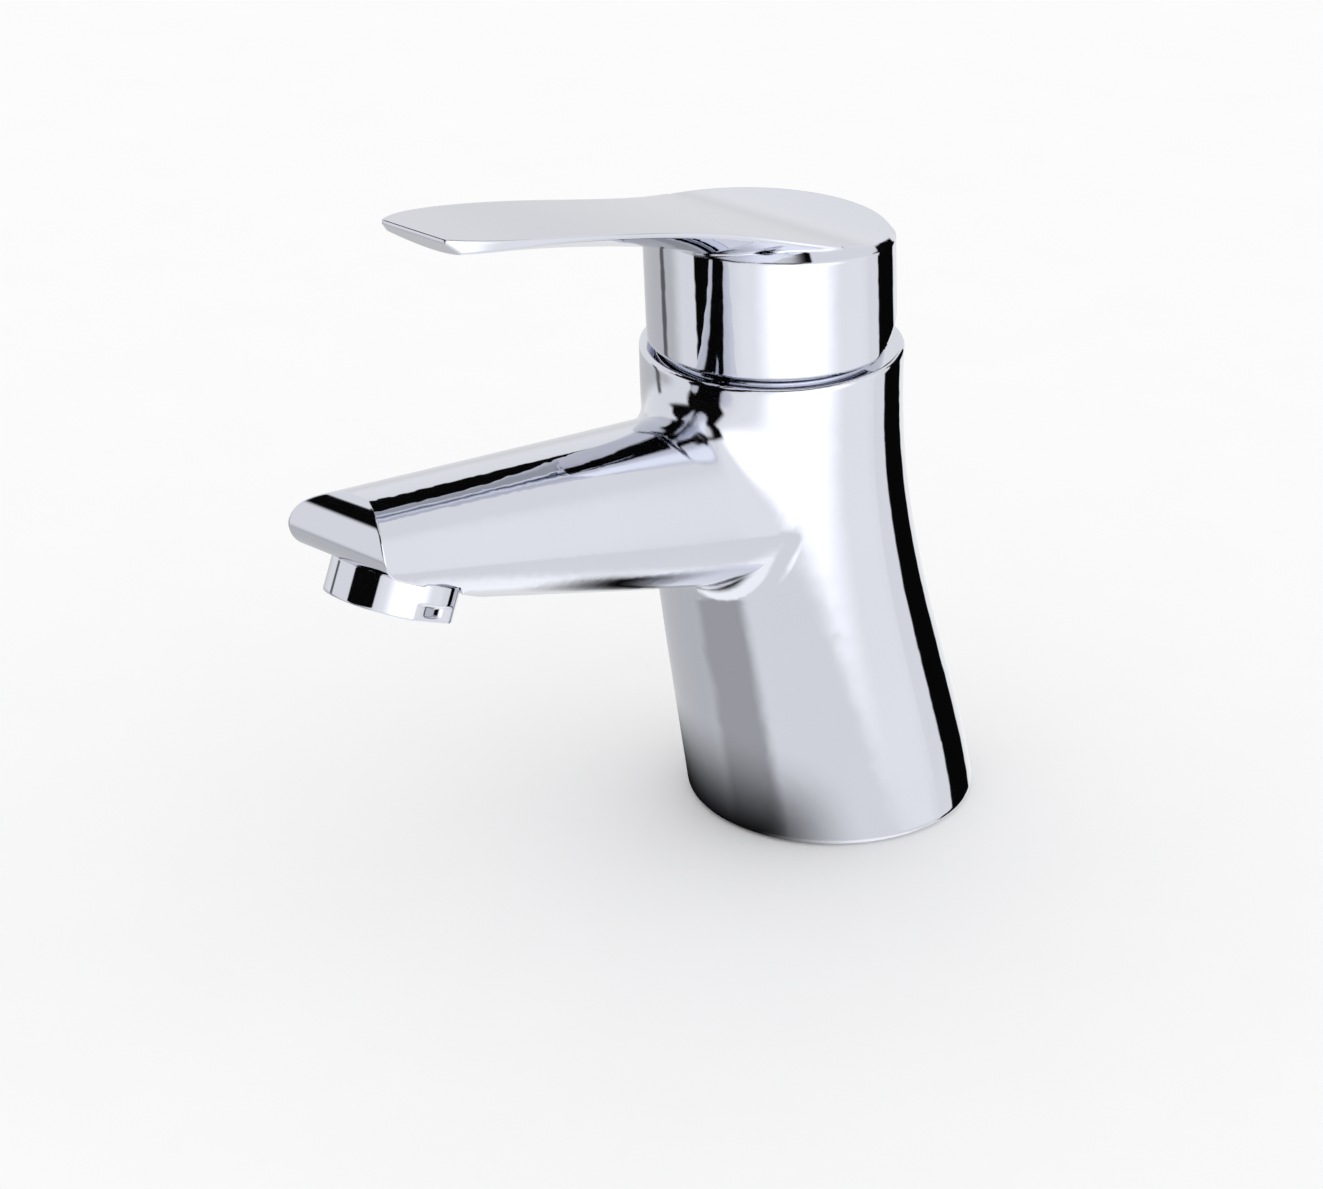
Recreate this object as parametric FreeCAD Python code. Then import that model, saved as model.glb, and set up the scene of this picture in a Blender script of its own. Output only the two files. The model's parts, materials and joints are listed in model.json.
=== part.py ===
import FreeCAD, Part
import math
import os

# Single-lever basin mixer. Millimetres, +Z up, spout towards -Y.
# The origin is the centre of the round foot, on the deck.

# Overall sizes
foot_radius = 30.0
rim_height = 105.6
cartridge_radius = 17.5
rim_radius = cartridge_radius + 8.6
axis_y = -21.05
outlet_y = -124.7
outlet_z = rim_height - 13.2
outlet_tilt = 23.5
nose_tilt = 28.3
nose_reach = 12.5
nose_roll = 6.5
lever_length = 97.2

# Casting
wall = 3.6
cavity_height = 50.0
foot_edge = 1.5
rim_edge = 0.8
spout_start = 12.0
spout_flare = 18.0
root_half_width = rim_radius - 5.4
blend_top = 5.0
blend_side = 16.0
blend_belly = 8.0
seat_height = rim_height - 30.0
outlet_bore = 8.7
nipple_radius = 11.0
nipple_length = 4.2
gasket_height = 2.5
gasket_radius = 27.5
inlet_radius = 4.5
inlet_depth = 14.0
inlet_spread = 10.5
inlet_y = -14.0
stud_radius = 3.4
stud_depth = 14.0
stud_y = 1.0

# Cartridge
cartridge_gap = 0.1
base_height = 4.5
shoulder = -6.0
neck_radius = 12.5
neck_top = 6.5
housing_wall = 2.2
disc_height = 4.5
disc_film = 0.05
carrier_radius = 9.65
carrier_gap = 0.07
inlet_port = (6.5, -4.0, 2.6)
outlet_port = (0.0, 5.0, 4.0)
seal_width = 1.3
seal_height = 1.2
seal_depth = 1.0

# Nut and cap
nut_radius = cartridge_radius + 3.0
nut_height = 6.0
cap_radius = nut_radius + 1.8
cap_height = 12.5
cap_wall = 1.2

# Lever and its stem
lift_angle = 24.0
stem_width = 7.0
stem_arm = 12.0
stem_top = 20.5
knuckle_radius = 3.0
knuckle_gap = 0.15
slot_gap = 0.1
pin_radius = 1.5
pin_gap = 0.05
skirt_radius = rim_radius - 1.5
skirt_gap = 1.4
skirt_bore = cap_radius + 0.4
skirt_lean = 3.4
bevel_tilt = 4.5
# share of the lever's length forward of the cartridge axis, height of the top face above the rim
lever_profile = ((-0.45, 22.6), (-0.26, 23.1), (-0.11, 23.9), (0.0, 25.2), (0.1, 27.6), (0.2, 30.6),
                 (0.31, 33.8), (0.46, 37.8), (0.62, 41.7), (0.77, 45.0), (1.0, 49.5), (1.15, 52.3))
roof = 3.2
boss_radius = 8.0
screw_height = 16.2
screw_radius = 2.1
screw_point = 0.8
screw_length = 6.0
screw_key = 1.25
plug_radius = 2.8

# Aerator
collar_radius = nipple_radius + 1.0
collar_length = 7.0
collar_flats = 2 * nipple_radius
spot_gap = 0.35

V = FreeCAD.Vector
X = V(1, 0, 0)
Y = V(0, 1, 0)
Z = V(0, 0, 1)
pivot = V(0, axis_y, rim_height)
spout_reach = axis_y - outlet_y
outlet = FreeCAD.Placement(V(0, outlet_y, outlet_z), FreeCAD.Rotation(X, -outlet_tilt))


def cylinder(radius, low, high, x=0.0, y=0.0):
    return Part.makeCylinder(radius, high - low, V(x, y, low))


def ring(outer, inner, low, high, x=0.0, y=0.0):
    return cylinder(outer, low, high, x, y).cut(cylinder(inner, low - 1, high + 1, x, y))


def rod(start, end, radius):
    run = end.sub(start)
    return Part.makeCylinder(radius, run.Length, start, run)


def box(x0, x1, y0, y1, z0, z1):
    return Part.makeBox(x1 - x0, y1 - y0, z1 - z0, V(x0, y0, z0))


def circle(radius, y, z):
    return Part.Wire(Part.makeCircle(radius, V(0, y, z)))


def turned(points, y=0.0):
    outline = [V(r, 0, z) for r, z in points]
    face = Part.Face(Part.makePolygon(outline + outline[:1]))
    solid = face.revolve(V(0, 0, 0), Z, 360)
    solid.translate(V(0, y, 0))
    return solid


def side_prism(points, reach=60.0):
    outline = [V(-reach, y, z) for y, z in points]
    face = Part.Face(Part.makePolygon(outline + outline[:1]))
    return face.extrude(V(2 * reach, 0, 0))


def column_form(inset=0.0, top=None):
    # share of the height, share of the lean, share of the foot's spread over the rim
    shares = ((0.0, 0.0, 1.0), (0.284, 0.375, 0.64), (0.54, 0.722, 0.205),
              (0.777, 0.94, -0.025), (1.0, 1.0, 0.0))
    sections = []
    for height, lean, spread in shares:
        radius = rim_radius + (foot_radius - rim_radius) * spread
        sections.append((height * rim_height, lean * axis_y, radius))
    if top is not None:
        below = [s for s in sections if s[0] < top]
        low, high = below[-1], sections[len(below)]
        t = (top - low[0]) / (high[0] - low[0])
        below.append(tuple(a + (b - a) * t for a, b in zip(low, high)))
        sections = below
    wires = [circle(radius - inset, y, z) for z, y, radius in sections]
    return Part.makeLoft(wires, True)


def spout_section(y, top, low, half_width, power=2.15, count=6):
    # an oval in four quarters, so that the blend to the column can differ at its top, sides and belly
    middle = 0.5 * (top + low)
    half_height = 0.5 * (top - low)
    headings = (Z, -X, -Z, X, Z)
    quarters = []
    for quarter in range(4):
        points = []
        for i in range(count + 1):
            a = 0.5 * math.pi * (quarter + i / count)
            c, s = math.cos(a), math.sin(a)
            x = half_width * math.copysign(abs(c) ** (2 / power), c)
            z = middle + half_height * math.copysign(abs(s) ** (2 / power), s)
            points.append(V(x, y, z))
        curve = Part.BSplineCurve()
        curve.interpolate(Points=points, InitialTangent=headings[quarter], FinalTangent=headings[quarter + 1])
        quarters.append(curve.toShape())
    return Part.Wire(quarters)


def spout_taper(forward):
    # half-width of the plain spout at a distance forward of the cartridge axis
    return 13.0 + 5.0 * (1 - forward / spout_reach)


def spout_size(forward):
    # top, belly and half-width, which flares towards the column
    share = forward / spout_reach
    top = outlet_z + 16.0 - 14.7 * (1 - share)
    low = outlet_z - 5.4 - 33.6 * (1 - share) + 6.0 * max(0.0, 0.45 - share) ** 1.5
    near = max(0.0, spout_start + spout_flare - forward) / spout_flare
    flare = (root_half_width - spout_taper(spout_start)) * near ** 2.6
    return top, low, spout_taper(forward) + flare


def spout_form(inset, stations):
    wires = []
    for forward in stations:
        top, low, half_width = spout_size(forward)
        wires.append(spout_section(axis_y - forward, top - inset, low + inset, half_width - inset))
    return Part.makeLoft(wires, True)


def even_steps(start, end, count):
    return [start + (end - start) * i / count for i in range(count + 1)]


def nose_form():
    # the spout's end in side view: a flat underside that rolls up round the nose and leans back to the top
    f, r = nose_reach, nose_roll
    turn = math.radians(40)
    end = V(0, -f - r * math.cos(turn), r + r * math.sin(turn))
    middle = V(0, -f - r * math.cos(math.radians(25)), r - r * math.sin(math.radians(25)))
    lean = V(0, end.y + 40 * math.sin(turn), end.z + 40 * math.cos(turn))
    roll = Part.Arc(V(0, -f, 0), middle, end).toShape()
    rest = Part.makePolygon([end, lean, V(0, 130, 90), V(0, 130, 0), V(0, -f, 0)])
    slab = Part.Face(Part.Wire([roll] + rest.Edges)).extrude(V(80, 0, 0))
    slab.translate(V(-40, 0, 0))
    slab.Placement = outlet.multiply(
        FreeCAD.Placement(V(0, 0, -1), FreeCAD.Rotation(X, outlet_tilt - nose_tilt))).multiply(slab.Placement)
    return slab


def blend_at(point):
    if abs(point.x) > 0.5 * root_half_width:
        return blend_side
    return blend_top if point.z > 0.5 * (rim_height + cavity_height) else blend_belly


def blended(column, spout):
    # the joint of column and spout is rounded tightly above and below, and widely at the sides
    body = column.fuse(spout)
    document = FreeCAD.newDocument("blend")
    plain = document.addObject("Part::Feature", "plain")
    plain.Shape = body
    rounded = document.addObject("Part::Fillet", "rounded")
    rounded.Base = plain
    joint = []
    for number, edge in enumerate(body.Edges, 1):
        middle = Part.Vertex(edge.valueAt(0.5 * (edge.FirstParameter + edge.LastParameter)))
        if max(middle.distToShape(column)[0], middle.distToShape(spout)[0]) < 0.001:
            ends = [blend_at(edge.valueAt(t)) for t in (edge.FirstParameter, edge.LastParameter)]
            joint.append((number, *ends))
    rounded.Edges = joint
    document.recompute()
    shape = rounded.Shape.copy()
    FreeCAD.closeDocument("blend")
    return shape


def body_casting():
    root = even_steps(spout_start, spout_start + spout_flare, 3)
    run = even_steps(spout_start + spout_flare, spout_reach + 30.0, 7)
    spout = spout_form(0.0, root + run[1:]).common(nose_form())
    column = column_form()
    column = column.makeFillet(rim_edge, [e for e in column.Edges if e.BoundBox.ZMin > rim_height - 0.1])
    column = column.makeFillet(foot_edge, [e for e in column.Edges if e.BoundBox.ZMax < 0.1])
    body = blended(column, spout)
    for tool in waterways() + seats():
        body = body.cut(tool)
    nipple = cylinder(nipple_radius, -nipple_length, 1.0).cut(cylinder(outlet_bore, -10, 10))
    nipple.Placement = outlet
    return body.fuse(nipple).removeSplitter()


def waterways():
    bore = cylinder(outlet_bore, -20, 8)
    bore.Placement = outlet
    tools = [bore, spout_form(wall, even_steps(rim_radius, spout_reach - 8.0, 4))]
    x, y, r = outlet_port
    drop = V(0, axis_y + y, seat_height - 11)
    tools.append(cylinder(r, drop.z, seat_height + 1, x, axis_y + y))
    tools.append(rod(drop + V(0, 2, -1), V(0, axis_y - 30, seat_height + 3.5), 4.5))
    x, y, r = inlet_port
    for side in (-1, 1):
        low = V(side * inlet_spread, inlet_y, cavity_height + inlet_depth - 2)
        high = V(side * x, axis_y + y, seat_height)
        tools.append(rod(low, high, r))
        tools.append(cylinder(r, seat_height - 1.5, seat_height + 1, side * x, axis_y + y))
        tools.append(cylinder(inlet_radius, cavity_height - 1, cavity_height + inlet_depth, low.x, low.y))
    return tools


def seats():
    spot = cylinder(collar_radius + spot_gap, -12, 0)
    spot.Placement = outlet
    return [
        cylinder(cartridge_radius + cartridge_gap, seat_height, rim_height + 1, 0, axis_y),
        cylinder(nut_radius, rim_height + shoulder, rim_height + 1, 0, axis_y),
        cylinder(2.1, seat_height - 3.2, seat_height + 1, 12, axis_y),
        cylinder(2.1, seat_height - 3.2, seat_height + 1, -12, axis_y),
        column_form(wall, cavity_height),
        cylinder(gasket_radius, -1, gasket_height),
        cylinder(stud_radius, cavity_height - 1, cavity_height + stud_depth, 0, stud_y),
        spot,
    ]


def foot_gasket():
    return ring(gasket_radius, gasket_radius - 4.5, 0, gasket_height)


def port_places():
    x, y, r = inlet_port
    ports = [(-x, y, r), (x, y, r), outlet_port]
    return [(x, axis_y + y, r) for x, y, r in ports]


def cartridge_base():
    low, high = seat_height, seat_height + base_height
    base = cylinder(cartridge_radius - 0.1, low, high, 0, axis_y)
    for side in (-1, 1):
        base = base.fuse(cylinder(2.0, low - 3, low + 1, 12 * side, axis_y))
    for x, y, r in port_places():
        base = base.cut(cylinder(r, low - 1, high + 1, x, y))
        base = base.cut(cylinder(r + seal_width, low - 1, low + seal_height, x, y))
        base = base.cut(cylinder(r + seal_width, high - seal_height, high + 1, x, y))
    return base


def seals(low):
    high = low + seal_height
    return Part.makeCompound([ring(r + seal_width, r, low, high, x, y) for x, y, r in port_places()])


def fixed_disc():
    low = seat_height + base_height
    disc = cylinder(cartridge_radius - housing_wall, low, low + disc_height, 0, axis_y)
    for x, y, r in port_places():
        disc = disc.cut(cylinder(r, low - 1, low + disc_height + 1, x, y))
    return disc


def cartridge_housing():
    low = seat_height + base_height
    inner = cartridge_radius - housing_wall
    top = rim_height + shoulder
    neck = carrier_radius + carrier_gap
    crown = rim_height + neck_top
    points = [(inner, low), (cartridge_radius, low), (cartridge_radius, top), (neck_radius, top),
              (neck_radius, crown), (neck, crown), (neck, top - 1.5), (inner, top - 1.5)]
    return turned(points, axis_y)


def rest_tilt():
    return FreeCAD.Placement(pivot, FreeCAD.Rotation(X, 0.5 * lift_angle))


def disc_rest():
    return stem_arm * math.sin(math.radians(0.5 * lift_angle))


def moving_disc():
    low = seat_height + base_height + disc_height + disc_film
    y = axis_y + disc_rest()
    disc = cylinder(cartridge_radius - housing_wall - disc_rest() - 0.3, low, carrier_low(), 0, y)
    pocket = box(-6.0, 6.0, y - 4.2, y + 4.2, low - 1, low + 2.5)
    return disc.cut(pocket)


def carrier_low():
    return rim_height + shoulder - 10.0


def disc_carrier():
    y = axis_y + disc_rest()
    top = rim_height + shoulder - 4.4
    carrier = cylinder(10.5, carrier_low(), top, 0, y)
    half = knuckle_radius + knuckle_gap
    floor = rim_height - stem_arm - knuckle_radius - 0.4
    side = 0.5 * stem_width + 2 * slot_gap
    return carrier.cut(box(-side, side, y - half, y + half, floor, top + 1))


def stem_carrier():
    low = rim_height + shoulder - 4.0
    top = rim_height + neck_top - 0.7
    carrier = cylinder(carrier_radius, low, top, 0, axis_y)
    carrier = carrier.fuse(cylinder(neck_radius - 0.5, low, low + 2.4, 0, axis_y))
    half = 0.5 * stem_width + slot_gap
    carrier = carrier.cut(box(-half, half, axis_y - 6.2, axis_y + 6.2, low - 1, top + 1))
    carrier = carrier.cut(rod(pivot - X * 20, pivot + X * 20, pin_radius))
    return carrier.cut(seal_groove(carrier_radius + 1))


def seal_groove(radius):
    return ring(radius, carrier_radius - seal_depth, rim_height + 2.6, rim_height + 4.2, 0, axis_y)


def carrier_seal():
    return seal_groove(carrier_radius)


def pivot_pin():
    reach = carrier_radius - 0.5
    return rod(pivot - X * reach, pivot + X * reach, pin_radius)


def stem():
    half = 0.5 * stem_width
    bar = box(-half, half, -half, half, -6.0, stem_top)
    shank = box(-half, half, -2.4, 2.4, -stem_arm, 0)
    knuckle = rod(V(-half, 0, -stem_arm), V(half, 0, -stem_arm), knuckle_radius)
    hole = rod(V(-20, 0, 0), V(20, 0, 0), pin_radius + pin_gap)
    solid = bar.fuse([shank, knuckle]).removeSplitter().cut(hole)
    solid.Placement = rest_tilt()
    return solid


def cartridge_nut():
    low = rim_height + shoulder
    high = rim_height + nut_height
    bore = neck_radius + 0.5
    points = [(bore, low), (nut_radius, low), (nut_radius, rim_height), (cap_thread(), rim_height),
              (cap_thread(), high), (bore, high)]
    nut = turned(points, axis_y)
    notch = box(-2.0, 2.0, axis_y - 30, axis_y + 30, high - 2.5, high + 1)
    for turn in (0, 90):
        tool = notch.copy()
        tool.rotate(pivot, Z, turn)
        nut = nut.cut(tool)
    return nut


def cap_thread():
    return cap_radius - 3.3


def cover_cap():
    outer = Part.makeSphere(cap_radius, pivot)
    inner = Part.makeSphere(cap_radius - cap_wall, pivot)
    zone = cylinder(cap_radius + 1, rim_height, rim_height + cap_height, 0, axis_y)
    hollow = cylinder(cap_radius, rim_height + nut_height, rim_height + cap_height - cap_wall, 0, axis_y)
    cap = outer.common(zone).cut(inner.common(hollow))
    cap = cap.cut(cylinder(cap_thread(), rim_height - 1, rim_height + nut_height, 0, axis_y))
    return cap.cut(cylinder(neck_radius + 1.5, rim_height - 1, rim_height + 40, 0, axis_y))


def lever_top(forward):
    # height of the lever's top face at a distance forward of the cartridge axis
    share = forward / lever_length
    for (s0, h0), (s1, h1) in zip(lever_profile, lever_profile[1:]):
        if share <= s1:
            break
    return rim_height + h0 + (h1 - h0) * (share - s0) / (s1 - s0)


def below_lever_top(drop):
    points = [V(-60, axis_y - s * lever_length, rim_height + h - drop) for s, h in lever_profile]
    curve = Part.BSplineCurve()
    curve.interpolate(points)
    low = rim_height - 40
    first, last = points[0], points[-1]
    frame = Part.makePolygon([last, V(-60, last.y, low), V(-60, first.y, low), first])
    face = Part.Face(Part.Wire([curve.toShape()] + frame.Edges))
    return face.extrude(V(120, 0, 0))


def skirt_form(radius, low):
    rise = 45.0
    shift = math.tan(math.radians(skirt_lean))
    start = skirt_gap
    return Part.makeLoft([circle(radius, axis_y - shift * (low - start), rim_height + low),
                          circle(radius, axis_y - shift * (rise - start), rim_height + rise)], True, True)


def lever_bevel():
    cone = Part.makeCone(skirt_radius + 29.0, skirt_radius - 3.0, 32.0, V(0, 0, -30))
    top = V(0, axis_y - 1.4, lever_top(-8.0) + 0.6)
    cone.Placement = FreeCAD.Placement(top, FreeCAD.Rotation(X, -bevel_tilt))
    return cone


def arm_section(forward, half_width, edge, belly):
    y = axis_y - forward
    top = lever_top(forward)
    a, b = V(-half_width, y, top + 3), V(half_width, y, top + 3)
    c, e = V(half_width, y, top - edge), V(-half_width, y, top - edge)
    arc = Part.Arc(c, V(0, y, top - edge - belly), e).toShape()
    return Part.Wire([Part.makeLine(a, b), Part.makeLine(b, c), arc, Part.makeLine(e, a)])


def lever_arm():
    # share of the lever's length, half-width, edge height, depth of the belly
    stations = ((0.06, 22.2, 1.0, 7.5), (0.15, 19.2, 0.9, 7.0), (0.24, 16.2, 0.9, 6.2),
                (0.34, 14.2, 0.9, 5.2), (0.46, 13.4, 0.9, 4.5), (0.62, 13.4, 0.9, 4.0),
                (0.76, 13.1, 1.1, 3.4), (0.86, 12.3, 1.6, 2.6), (0.93, 10.9, 2.2, 1.8),
                (0.975, 9.2, 2.6, 1.3), (1.02, 6.4, 2.8, 1.0))
    arm = Part.makeLoft([arm_section(s * lever_length, w, e, b) for s, w, e, b in stations], True)
    tip_y, tip_z = axis_y - lever_length, lever_top(lever_length)
    chin = side_prism([(tip_y - 3, tip_z + 8), (tip_y, tip_z + 8), (tip_y, tip_z - 0.8),
                       (tip_y + 12, tip_z - 12), (tip_y - 3, tip_z - 12)])
    return arm.cut(chin)


def screw_line(start, end, radius):
    z = rim_height + screw_height
    return rod(V(0, axis_y + start, z), V(0, axis_y + end, z), radius)


def stem_face():
    lean = math.radians(0.5 * lift_angle)
    return 0.5 * stem_width / math.cos(lean) - screw_height * math.tan(lean)


def screw_start():
    # the screw's flat point bears on the leaning stem with its lower edge
    return stem_face() + screw_point * math.tan(math.radians(0.5 * lift_angle)) + pin_gap


def lever_handle():
    shell = skirt_form(skirt_radius, skirt_gap).common(lever_bevel())
    handle = shell.fuse(lever_arm()).common(below_lever_top(0.0))
    hollow = skirt_form(skirt_bore, 0.0).common(below_lever_top(roof))
    handle = handle.cut(hollow)
    boss = cylinder(boss_radius, 9.8, 40)
    boss.Placement = rest_tilt()
    handle = handle.fuse(boss.common(below_lever_top(1.0)))
    half = 0.5 * stem_width
    socket = box(-half, half, -half, half, 0, stem_top)
    socket.Placement = rest_tilt()
    slope = math.tan(math.radians(lift_angle + 2.5))
    relief = side_prism([(axis_y, rim_height - 30), (axis_y + 60, rim_height - 30),
                         (axis_y + 60, rim_height + 60 * slope), (axis_y, rim_height)])
    tools = [socket, relief, screw_line(stem_face(), 12, screw_radius), screw_line(12, 40, plug_radius)]
    for tool in tools:
        handle = handle.cut(tool)
    return handle.removeSplitter()


def grub_screw():
    taper = screw_radius - screw_point
    shank = screw_line(screw_start() + taper, screw_start() + screw_length, screw_radius)
    start = V(0, axis_y + screw_start(), rim_height + screw_height)
    point = Part.makeCone(screw_point, screw_radius, taper, start, Y)
    hexagon = []
    for i in range(6):
        a = math.radians(60 * i)
        hexagon.append(start + V(screw_key * math.cos(a), 0.5 * screw_length, screw_key * math.sin(a)))
    socket = Part.Face(Part.makePolygon(hexagon + hexagon[:1])).extrude(V(0, screw_length, 0))
    return shank.fuse(point).removeSplitter().cut(socket)


def index_plug():
    plug = screw_line(12, 40, plug_radius).common(skirt_form(skirt_radius, skirt_gap))
    return plug.cut(skirt_form(skirt_bore, 0.0))


def aerator_collar():
    points = [(nipple_radius, 0), (collar_radius, 0), (collar_radius, -collar_length), (9.3, -collar_length),
              (9.3, -6.2), (nipple_radius, -6.2)]
    collar = turned(points)
    half = 0.5 * collar_flats
    for side in (-1, 1):
        flat = box(half, half + 5, -20, 20, -collar_length - 1, -0.55 * collar_length)
        if side < 0:
            flat = flat.mirror(V(0, 0, 0), X)
        collar = collar.cut(flat)
    collar.Placement = outlet
    return collar


def aerator_washer():
    washer = ring(nipple_radius, outlet_bore, -5.0, -nipple_length)
    washer.Placement = outlet
    return washer


def aerator_insert():
    insert = cylinder(nipple_radius, -6.2, -5.0).fuse(cylinder(outlet_bore - 0.2, -5.0, 3.0))
    insert = insert.fuse(cylinder(9.1, -6.8, -6.2)).removeSplitter()
    insert = insert.cut(cylinder(7.2, -1.5, 4.0))
    cells = []
    for row in range(-3, 4):
        for column in range(-3, 4):
            x, y = 1.9 * (column + 0.5 * (row % 2)), 1.65 * row
            if math.hypot(x, y) < 6.0:
                cells.append(cylinder(0.7, -8, 0, x, y))
    insert = insert.cut(Part.makeCompound(cells))
    insert.Placement = outlet
    return insert


def aerator_strainer():
    dome = ring(outlet_bore - 0.2, 6.6, 3.0, 4.0).fuse(cylinder(6.6, 3.0, 3.8))
    holes = []
    for count, radius in ((6, 2.2), (12, 4.6)):
        for i in range(count):
            a = 2 * math.pi * i / count
            holes.append(cylinder(0.5, 2, 6, radius * math.cos(a), radius * math.sin(a)))
    dome = dome.removeSplitter().cut(Part.makeCompound(holes))
    dome.Placement = outlet
    return dome


def main():
    nodes = {
        "body_casting": body_casting(),
        "foot_gasket": foot_gasket(),
        "cover_cap": cover_cap(),
        "cartridge_nut": cartridge_nut(),
        "cartridge_housing": cartridge_housing(),
        "cartridge_base": cartridge_base(),
        "port_seals": seals(seat_height),
        "disc_seals": seals(seat_height + base_height - seal_height),
        "fixed_disc": fixed_disc(),
        "moving_disc": moving_disc(),
        "disc_carrier": disc_carrier(),
        "stem_carrier": stem_carrier(),
        "carrier_seal": carrier_seal(),
        "pivot_pin": pivot_pin(),
        "stem": stem(),
        "lever_handle": lever_handle(),
        "grub_screw": grub_screw(),
        "index_plug": index_plug(),
        "aerator_collar": aerator_collar(),
        "aerator_washer": aerator_washer(),
        "aerator_insert": aerator_insert(),
        "aerator_strainer": aerator_strainer(),
    }
    os.makedirs("parts", exist_ok=True)
    for name, shape in nodes.items():
        print(name, len(shape.Solids), shape.isValid(), round(shape.Volume))
        shape.exportStep("parts/" + name + ".step")


main()
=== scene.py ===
import bpy
import json
import math
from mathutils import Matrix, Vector


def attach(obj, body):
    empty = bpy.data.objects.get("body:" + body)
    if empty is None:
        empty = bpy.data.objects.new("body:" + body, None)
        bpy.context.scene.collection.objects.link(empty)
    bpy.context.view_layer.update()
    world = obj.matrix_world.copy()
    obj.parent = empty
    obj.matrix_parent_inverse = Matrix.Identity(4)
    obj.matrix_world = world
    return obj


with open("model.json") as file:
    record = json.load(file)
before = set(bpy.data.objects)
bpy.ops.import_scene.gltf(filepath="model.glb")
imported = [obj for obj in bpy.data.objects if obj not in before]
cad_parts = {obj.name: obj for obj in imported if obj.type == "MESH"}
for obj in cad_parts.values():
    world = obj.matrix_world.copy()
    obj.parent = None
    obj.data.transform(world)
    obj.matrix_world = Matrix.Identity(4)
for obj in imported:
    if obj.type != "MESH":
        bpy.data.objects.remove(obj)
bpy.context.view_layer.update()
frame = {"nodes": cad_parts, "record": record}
scene = bpy.context.scene
print("frame loaded:", len(frame["nodes"]), "nodes")


def deselectAll():
    if bpy.context.object and bpy.context.object.mode != "OBJECT":
        bpy.ops.object.mode_set(mode="OBJECT")
    bpy.ops.object.select_all(action="DESELECT")


def newMaterial(name):
    material = bpy.data.materials.new(name)
    material.use_nodes = True
    nodes = material.node_tree.nodes
    return material, nodes, material.node_tree.links, nodes["Principled BSDF"]


def setSocket(links, socket, value):
    if isinstance(value, (int, float)):
        socket.default_value = value
    elif value is not None:
        links.new(value, socket)


def mathStep(nodes, links, operation, first, second=None, third=None):
    step = nodes.new("ShaderNodeMath")
    step.operation = operation
    for socket, value in zip(step.inputs, (first, second, third)):
        setSocket(links, socket, value)
    return step.outputs["Value"]


def mixValue(nodes, links, share, first, second):
    mix = nodes.new("ShaderNodeMix")
    mix.data_type = "FLOAT"
    setSocket(links, mix.inputs[0], share)
    setSocket(links, mix.inputs[2], first)
    setSocket(links, mix.inputs[3], second)
    return mix.outputs[0]


def mixColor(nodes, links, share, first, second):
    mix = nodes.new("ShaderNodeMix")
    mix.data_type = "RGBA"
    setSocket(links, mix.inputs[0], share)
    links.new(first, mix.inputs[6])
    links.new(second, mix.inputs[7])
    return mix.outputs[2]


def objectAxes(nodes, links):
    place = nodes.new("ShaderNodeTexCoord")
    split = nodes.new("ShaderNodeSeparateXYZ")
    links.new(place.outputs["Object"], split.inputs["Vector"])
    return split.outputs


# a noise's useful span, its octaves when broad or fine, and the rays that soften an edge
surfaceQuality = {"span": (0.3, 0.7), "broadDetail": 3.0, "fineDetail": 2.0, "edgeSamples": 16}


def noiseFrom(nodes, links, scale, detail=surfaceQuality["broadDetail"], stretch=(1.0, 1.0, 1.0)):
    place = nodes.new("ShaderNodeTexCoord")
    turn = nodes.new("ShaderNodeMapping")
    turn.inputs["Scale"].default_value = stretch
    noise = nodes.new("ShaderNodeTexNoise")
    noise.inputs["Scale"].default_value = scale
    noise.inputs["Detail"].default_value = detail
    links.new(place.outputs["Object"], turn.inputs["Vector"])
    links.new(turn.outputs["Vector"], noise.inputs["Vector"])
    return noise.outputs["Fac"]


def spreadValue(nodes, links, source, low, high):
    spread = nodes.new("ShaderNodeMapRange")
    spread.inputs["From Min"].default_value, spread.inputs["From Max"].default_value = surfaceQuality["span"]
    spread.inputs["To Min"].default_value = low
    spread.inputs["To Max"].default_value = high
    links.new(source, spread.inputs["Value"])
    return spread.outputs["Result"]


def spreadColor(nodes, links, source, dark, light):
    ramp = nodes.new("ShaderNodeValToRGB")
    for stop, position, color in zip(ramp.color_ramp.elements, surfaceQuality["span"], (dark, light)):
        stop.position = position
        stop.color = (*color, 1)
    links.new(source, ramp.inputs["Fac"])
    return ramp.outputs["Color"]


def softEdge(nodes, links, radius):
    edge = nodes.new("ShaderNodeBevel")
    edge.samples = surfaceQuality["edgeSamples"]
    setSocket(links, edge.inputs["Radius"], radius)
    return edge.outputs["Normal"]


def addBump(nodes, links, shader, source, height, strength, edge=None):
    bump = nodes.new("ShaderNodeBump")
    setSocket(links, bump.inputs["Normal"], edge)
    bump.inputs["Distance"].default_value = height
    bump.inputs["Strength"].default_value = strength
    links.new(source, bump.inputs["Height"])
    links.new(bump.outputs["Normal"], shader.inputs["Normal"])


def surfaceParts(nodes, links, look):
    broad = noiseFrom(nodes, links, look["broad"])
    fine = noiseFrom(nodes, links, look["fine"], surfaceQuality["fineDetail"], look.get("stretch", (1, 1, 1)))
    color = spreadColor(nodes, links, broad, look["dark"], look["light"])
    return color, spreadValue(nodes, links, fine, *look["rough"]), fine


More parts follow.
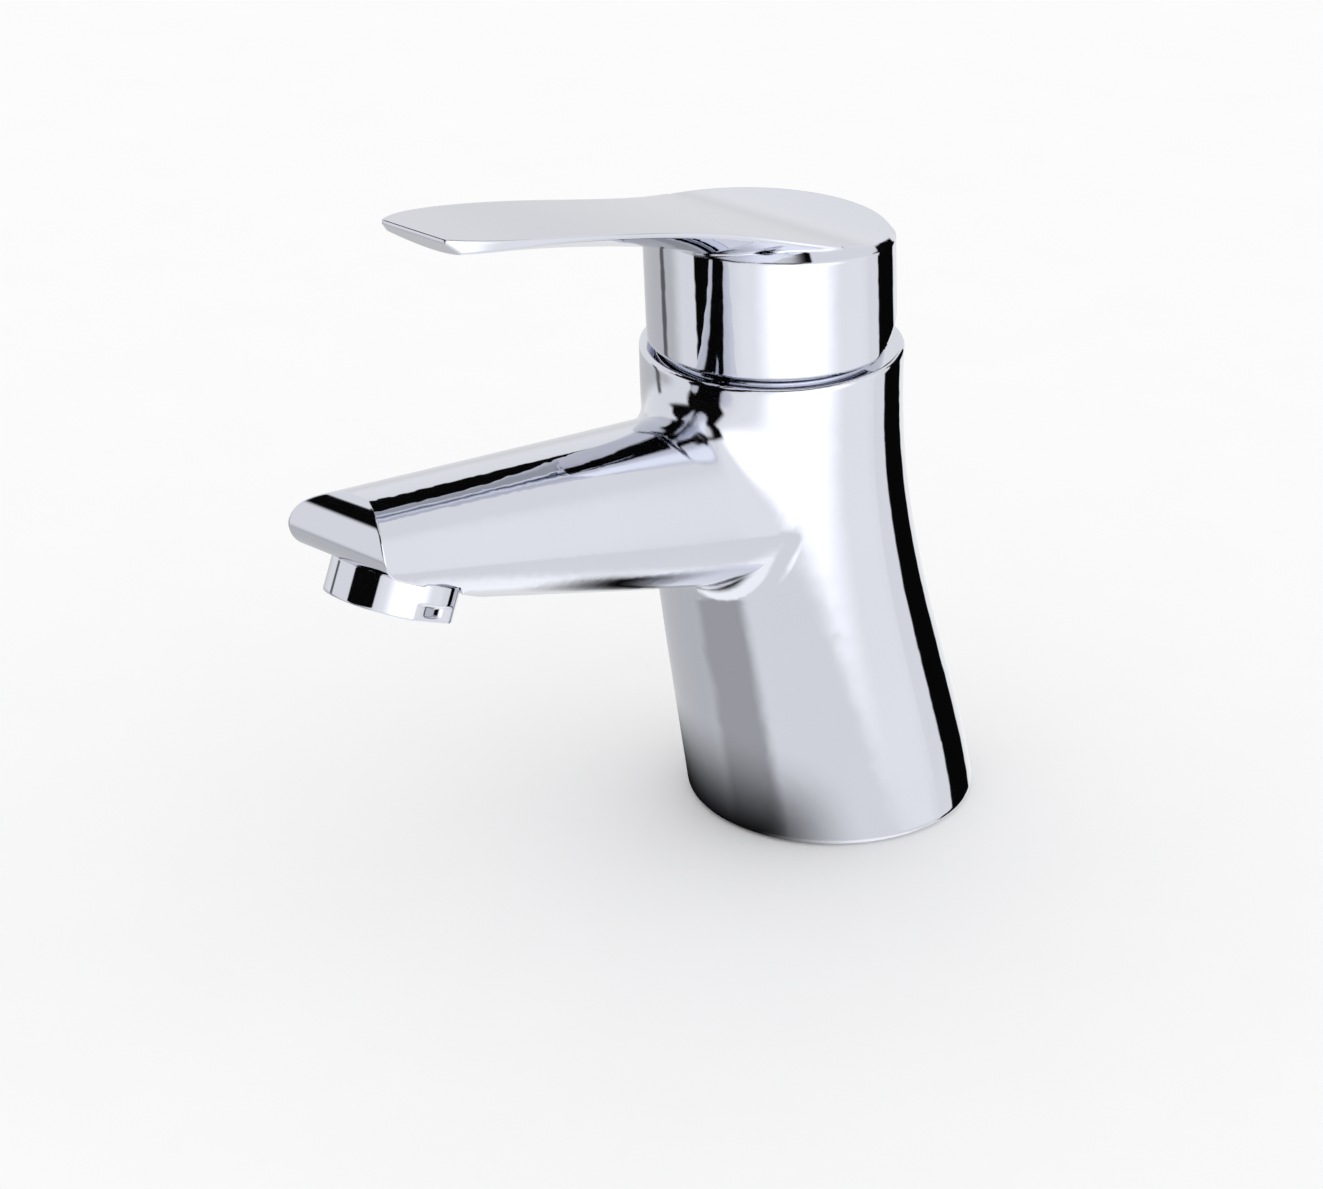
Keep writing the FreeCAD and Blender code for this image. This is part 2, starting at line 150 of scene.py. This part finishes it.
def makeSurface(name, look):
    material, nodes, links, shader = newMaterial(name)
    shader.inputs["Metallic"].default_value = look["metallic"]
    color, rough, fine = surfaceParts(nodes, links, look)
    links.new(color, shader.inputs["Base Color"])
    links.new(rough, shader.inputs["Roughness"])
    edge = softEdge(nodes, links, look["edge"]) if "edge" in look else None
    addBump(nodes, links, shader, fine, look["bump"], look["bumpStrength"], edge)
    return material


# sizes and bump heights in metres, "edge" is how far an edge is softened
finishes = {
    "chrome": {"metallic": 1.0, "dark": (0.628, 0.643, 0.706), "light": (0.642, 0.657, 0.724), "broad": 30.0,
               "fine": 260.0, "rough": (0.02, 0.045), "bump": 0.000002, "bumpStrength": 0.05, "edge": 0.0009},
    "brass": {"metallic": 1.0, "dark": (0.60, 0.42, 0.16), "light": (0.74, 0.55, 0.25), "broad": 120.0,
              "fine": 900.0, "rough": (0.22, 0.36), "bump": 0.00004, "bumpStrength": 0.4, "stretch": (1, 1, 6)},
    "steel": {"metallic": 1.0, "dark": (0.40, 0.40, 0.41), "light": (0.55, 0.55, 0.56), "broad": 150.0,
              "fine": 1200.0, "rough": (0.2, 0.34), "bump": 0.00003, "bumpStrength": 0.4},
    "ceramic": {"metallic": 0.0, "dark": (0.80, 0.79, 0.75), "light": (0.88, 0.87, 0.84), "broad": 80.0,
                "fine": 1500.0, "rough": (0.12, 0.2), "bump": 0.00001, "bumpStrength": 0.2},
    "white_plastic": {"metallic": 0.0, "dark": (0.74, 0.74, 0.73), "light": (0.80, 0.80, 0.79), "broad": 60.0,
                      "fine": 1800.0, "rough": (0.38, 0.5), "bump": 0.00003, "bumpStrength": 0.3},
    "grey_plastic": {"metallic": 0.0, "dark": (0.08, 0.085, 0.09), "light": (0.11, 0.115, 0.12), "broad": 60.0,
                     "fine": 1800.0, "rough": (0.4, 0.52), "bump": 0.00003, "bumpStrength": 0.3},
    "index_plastic": {"metallic": 0.0, "dark": (0.22, 0.24, 0.27), "light": (0.26, 0.28, 0.31), "broad": 90.0,
                      "fine": 1600.0, "rough": (0.18, 0.26), "bump": 0.00001, "bumpStrength": 0.2},
    "rubber": {"metallic": 0.0, "dark": (0.018, 0.018, 0.019), "light": (0.03, 0.03, 0.031), "broad": 90.0,
               "fine": 2200.0, "rough": (0.55, 0.72), "bump": 0.00004, "bumpStrength": 0.5},
}
surfaces = {slot: makeSurface(slot + "Finish", look) for slot, look in finishes.items()}

# raw casting inside the hollow foot: the leaning axis and the wall's place at a height, in metres
rawCasting = {"lean": 0.264, "taper": 0.0544, "inside": 0.0282, "top": 0.066,
              "dark": (0.40, 0.27, 0.10), "light": (0.60, 0.43, 0.19), "broad": 160.0, "fine": 1400.0,
              "rough": (0.42, 0.6), "bump": 0.00012, "bumpStrength": 0.6}


def insideFoot(nodes, links):
    x, y, z = objectAxes(nodes, links)
    across = mathStep(nodes, links, "MULTIPLY_ADD", z, rawCasting["lean"], y)
    square = mathStep(nodes, links, "MULTIPLY_ADD", across, across, mathStep(nodes, links, "MULTIPLY", x, x))
    radius = mathStep(nodes, links, "SQRT", square)
    wall = mathStep(nodes, links, "MULTIPLY_ADD", z, rawCasting["taper"], radius)
    within = mathStep(nodes, links, "LESS_THAN", wall, rawCasting["inside"])
    return mathStep(nodes, links, "MULTIPLY", within, mathStep(nodes, links, "LESS_THAN", z, rawCasting["top"]))


# how far edges are softened where the spout flows into the column, elsewhere, and where that fades, in metres
spoutBlend = {"reach": 0.0045, "plain": 0.0006, "front": (-0.08, -0.062), "back": (-0.034, -0.04),
              "top": (0.105, 0.1025), "low": (0.08, 0.087)}


def blendReach(nodes, links):
    axes = objectAxes(nodes, links)
    share = 1.0
    for axis, end in (("Y", "front"), ("Y", "back"), ("Z", "top"), ("Z", "low")):
        fade = nodes.new("ShaderNodeMapRange")
        fade.inputs["From Min"].default_value, fade.inputs["From Max"].default_value = spoutBlend[end]
        links.new(axes[axis], fade.inputs["Value"])
        share = mathStep(nodes, links, "MULTIPLY", fade.outputs["Result"], share)
    return mixValue(nodes, links, share, spoutBlend["plain"], spoutBlend["reach"])


def makeCasting():
    material, nodes, links, shader = newMaterial("platedCasting")
    shader.inputs["Metallic"].default_value = 1.0
    inside = insideFoot(nodes, links)
    plated = surfaceParts(nodes, links, finishes["chrome"])
    raw = surfaceParts(nodes, links, rawCasting)
    links.new(mixColor(nodes, links, inside, plated[0], raw[0]), shader.inputs["Base Color"])
    links.new(mixValue(nodes, links, inside, plated[1], raw[1]), shader.inputs["Roughness"])
    grain = mathStep(nodes, links, "MULTIPLY", raw[2], inside)
    edge = softEdge(nodes, links, blendReach(nodes, links))
    addBump(nodes, links, shader, grain, rawCasting["bump"], rawCasting["bumpStrength"], edge)
    return material


for part in frame["record"]["subparts"]:
    node = frame["nodes"][part["node"]]
    node.data.materials.clear()
    node.data.materials.append(surfaces[part["material_slot"]])
casting = frame["nodes"]["body_casting"]
casting.data.materials.clear()
casting.data.materials.append(makeCasting())
print("finishes made:", len(surfaces) + 1)

# internal threads under the foot: crests that stand in the tapped holes, in metres
threads = {
    "hotInletThread": {"centre": (-0.0105, -0.014), "bore": 0.0045, "pitch": 0.001, "low": 0.0507, "turns": 12},
    "coldInletThread": {"copyOf": "hotInletThread", "across": 0.021},
    "studThread": {"centre": (0.0, 0.001), "bore": 0.0034, "pitch": 0.00125, "low": 0.0508, "turns": 9},
}
# a crest's height as a share of the pitch, the share of it that is sunk, steps in a turn and merging distance
threadCut = {"height": 0.45, "sunk": 0.35, "steps": 40, "merge": 0.000002}


def finishThread(thread):
    bpy.ops.object.transform_apply(location=True, rotation=True, scale=True)
    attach(thread, "fixed")
    return thread


def makeThread(name, look):
    deselectAll()
    depth = threadCut["height"] * look["pitch"]
    bpy.ops.mesh.primitive_circle_add(vertices=3, radius=depth, location=(*look["centre"], look["low"]))
    thread = bpy.context.object
    thread.name = name
    bpy.ops.object.mode_set(mode="EDIT")
    bpy.ops.mesh.select_all(action="SELECT")
    bpy.ops.transform.rotate(value=math.radians(90), orient_axis="X", center_override=thread.location)
    bpy.ops.transform.rotate(value=math.radians(90), orient_axis="Y", center_override=thread.location)
    bpy.ops.transform.translate(value=(look["bore"] - threadCut["sunk"] * depth, 0, 0))
    bpy.ops.object.mode_set(mode="OBJECT")
    winding = thread.modifiers.new("winding", "SCREW")
    winding.screw_offset = look["pitch"]
    winding.iterations = look["turns"]
    winding.steps = threadCut["steps"]
    winding.render_steps = threadCut["steps"]
    bpy.ops.object.modifier_apply(modifier=winding.name)
    bpy.ops.object.mode_set(mode="EDIT")
    bpy.ops.mesh.select_all(action="SELECT")
    bpy.ops.mesh.remove_doubles(threshold=threadCut["merge"])
    bpy.ops.mesh.fill_holes(sides=4)
    bpy.ops.mesh.normals_make_consistent(inside=False)
    bpy.ops.object.mode_set(mode="OBJECT")
    thread.data.materials.append(surfaces["brass"])
    return finishThread(thread)


def copyThread(name, look):
    deselectAll()
    cutThreads[look["copyOf"]].select_set(True)
    bpy.context.view_layer.objects.active = cutThreads[look["copyOf"]]
    bpy.ops.object.duplicate()
    thread = bpy.context.object
    thread.name = name
    bpy.ops.transform.translate(value=(look["across"], 0, 0))
    return finishThread(thread)


cutThreads = {}
for name, look in threads.items():
    cutThreads[name] = copyThread(name, look) if "copyOf" in look else makeThread(name, look)
print("threads cut:", len(threads))

# the studio as the chrome shows it: corners are azimuth to the right of the camera and elevation, in degrees
studio = {
    "cameraAzimuth": -48.2,
    "room": 1.0,
    "panels": {
        "greyLeftRear": {"corners": ((-180, -60), (-98, -60), (-98, -12), (-180, -12)), "level": 0.65, "soft": 8.0},
        "rearGrey": {"corners": ((160, -20), (-165, -20), (-165, 5), (160, 5)), "level": 0.84, "soft": 5.0},
        "wideGlow": {"corners": ((-34, -33), (95, -33), (104, 30), (60, 58), (0, 52)), "level": 1.12, "soft": 8.0},
        "softbox": {"corners": ((-8, -33), (50, -33), (72, 10), (56, 45), (10, 45)), "level": 1.75, "soft": 11.0},
        "frontTable": {"corners": ((-50, -33), (-30, -33), (-10, -33), (10, -33), (30, -33), (50, -33), (70, -33),
                                   (90, -33), (110, -33), (30, -89)), "level": 0.98, "soft": 4.0},
        "greyLowLeft": {"corners": ((-100, -33), (-85, -33), (-70, -33), (-55, -33), (-44, -33), (-72, -89)),
                        "level": 0.48, "soft": 6.0},
        "underGlow": {"corners": ((0, -54), (45, -54), (90, -54), (135, -54), (180, -54), (-135, -54), (-90, -54),
                                  (-45, -54)), "level": 1.3, "soft": 4.0},
        "rightFlag": {"corners": ((115, -45), (149, -45), (149, 22), (115, 22)), "level": 0.003, "soft": 1.0},
        "leftLine": {"corners": ((-121, -35), (-114, -35), (-114, 0), (-121, 0)), "level": 0.15, "soft": 1.5},
        "leftFlag": {"corners": ((-74, -33), (-38, -33), (-27, 5), (35, 46), (-20, 70), (-76, 60)),
                     "level": 0.003, "soft": 0.8},
        "noseFlag": {"corners": ((-112, 30), (-95, 29), (-70, 27), (-70, 52), (-112, 48)),
                     "level": 0.003, "soft": 5.0},
        "overheadFlag": {"corners": ((-97, 32), (0, 46), (35, 46), (70, 60), (147, 40), (160, 45), (-146, 50)),
                         "level": 0.003, "soft": 0.8},
        "overheadGlow": {"corners": ((0, 66), (60, 66), (120, 66), (180, 66), (-120, 66), (-60, 66)),
                         "level": 0.9, "soft": 5.0},
        "rearFlag": {"corners": ((149, 42), (152, 33), (168, 24), (172, 45), (160, 60)), "level": 0.003, "soft": 0.8},
    },
}


def studioDirection(azimuth, elevation):
    a = math.radians(studio["cameraAzimuth"] + azimuth)
    e = math.radians(elevation)
    return Vector((math.cos(a) * math.cos(e), math.sin(a) * math.cos(e), math.sin(e)))


def panelShare(nodes, links, view, panel):
    # 1 inside the panel and 0 outside it, with a soft edge
    points = [studioDirection(*corner) for corner in panel["corners"]]
    middle = sum(points, Vector())
    width = math.sin(math.radians(panel["soft"]))
    share = 1.0
    for first, second in zip(points, points[1:] + points[:1]):
        normal = first.cross(second).normalized()
        if normal.dot(middle) < 0:
            normal.negate()
        side = nodes.new("ShaderNodeVectorMath")
        side.operation = "DOT_PRODUCT"
        side.inputs[1].default_value = normal
        links.new(view, side.inputs[0])
        edge = nodes.new("ShaderNodeMapRange")
        edge.interpolation_type = "SMOOTHSTEP"
        edge.inputs["From Min"].default_value = -width
        edge.inputs["From Max"].default_value = width
        links.new(side.outputs["Value"], edge.inputs["Value"])
        share = mathStep(nodes, links, "MULTIPLY", edge.outputs["Result"], share)
    return share


world = bpy.data.worlds.new("studio")
scene.world = world
world.use_nodes = True
nodes, links = world.node_tree.nodes, world.node_tree.links
view = nodes.new("ShaderNodeTexCoord").outputs["Generated"]
level = studio["room"]
for panel in studio["panels"].values():
    level = mixValue(nodes, links, panelShare(nodes, links, view, panel), level, panel["level"])
path = nodes.new("ShaderNodeLightPath")
mirrored = mathStep(nodes, links, "MAXIMUM", path.outputs["Is Glossy Ray"], path.outputs["Is Transmission Ray"])
links.new(mixValue(nodes, links, mirrored, studio["room"], level), nodes["Background"].inputs["Strength"])
nodes["Background"].inputs["Color"].default_value = (1.0, 1.0, 1.0, 1)
print("studio panels:", len(studio["panels"]))

# the shadow at the foot's left that the chrome mirrors, in metres and degrees
footShadow = {"radius": 0.08, "corners": 96, "height": -0.0002, "azimuth": -75.0, "dark": 0.029, "clear": 0.056,
              "spread": 0.75}


def makeFootShadow():
    deselectAll()
    bpy.ops.mesh.primitive_circle_add(vertices=footShadow["corners"], radius=footShadow["radius"],
                                      fill_type="NGON", location=(0, 0, footShadow["height"]))
    shade = bpy.context.object
    shade.name = "footShadow"
    material = bpy.data.materials.new("footShadow")
    material.use_nodes = True
    nodes, links = material.node_tree.nodes, material.node_tree.links
    nodes.clear()
    place = nodes.new("ShaderNodeTexCoord").outputs["Object"]
    far = nodes.new("ShaderNodeVectorMath")
    far.operation = "LENGTH"
    links.new(place, far.inputs[0])
    near = nodes.new("ShaderNodeMapRange")
    near.interpolation_type = "SMOOTHSTEP"
    near.inputs["From Min"].default_value = footShadow["clear"]
    near.inputs["From Max"].default_value = footShadow["dark"]
    links.new(far.outputs["Value"], near.inputs["Value"])
    along = nodes.new("ShaderNodeVectorMath")
    along.operation = "DOT_PRODUCT"
    along.inputs[1].default_value = studioDirection(footShadow["azimuth"], 0)
    links.new(place, along.inputs[0])
    facing = nodes.new("ShaderNodeMapRange")
    facing.interpolation_type = "SMOOTHSTEP"
    facing.inputs["From Max"].default_value = footShadow["spread"]
    links.new(mathStep(nodes, links, "DIVIDE", along.outputs["Value"], far.outputs["Value"]), facing.inputs["Value"])
    mix = nodes.new("ShaderNodeMixShader")
    links.new(mathStep(nodes, links, "MULTIPLY", near.outputs["Result"], facing.outputs["Result"]), mix.inputs[0])
    links.new(nodes.new("ShaderNodeBsdfTransparent").outputs[0], mix.inputs[1])
    black = nodes.new("ShaderNodeEmission")
    black.inputs["Strength"].default_value = 0.0
    links.new(black.outputs[0], mix.inputs[2])
    links.new(mix.outputs[0], nodes.new("ShaderNodeOutputMaterial").inputs["Surface"])
    shade.data.materials.append(material)
    bpy.ops.object.transform_apply(location=True, rotation=True, scale=True)
    shade.visible_camera = False
    shade.visible_diffuse = False
    shade.visible_transmission = False
    shade.visible_shadow = False


makeFootShadow()

floorLook = {"size": 6.0, "height": -0.0003, "dark": (0.968, 0.968, 0.97), "light": (0.976, 0.976, 0.978),
             "grain": 40.0, "rough": 0.9}
deselectAll()
bpy.ops.mesh.primitive_plane_add(size=floorLook["size"], location=(0, 0, floorLook["height"]))
floor = bpy.context.object
floor.name = "floor"
floor.visible_glossy = False
floorSurface, nodes, links, shader = newMaterial("floorPaper")
grain = noiseFrom(nodes, links, floorLook["grain"])
links.new(spreadColor(nodes, links, grain, floorLook["dark"], floorLook["light"]), shader.inputs["Base Color"])
shader.inputs["Roughness"].default_value = floorLook["rough"]
shader.inputs["Specular IOR Level"].default_value = 0.0
floor.data.materials.append(floorSurface)

cameraLook = {"place": (0.45714, -0.56480, 0.38930), "target": (-0.01613, -0.03547, 0.05016), "lens": 105.8,
              "sensor": 36.0, "nearest": 0.01}
cameraData = bpy.data.cameras.new("photoCamera")
cameraData.lens = cameraLook["lens"]
cameraData.sensor_width = cameraLook["sensor"]
cameraData.sensor_fit = "HORIZONTAL"
cameraData.clip_start = cameraLook["nearest"]
camera = bpy.data.objects.new("photoCamera", cameraData)
scene.collection.objects.link(camera)
camera.location = cameraLook["place"]
camera.rotation_euler = (Vector(cameraLook["target"]) - camera.location).to_track_quat("-Z", "Y").to_euler()
scene.camera = camera
scene.view_settings.view_transform = "Standard"
print("studio, floor and camera set")
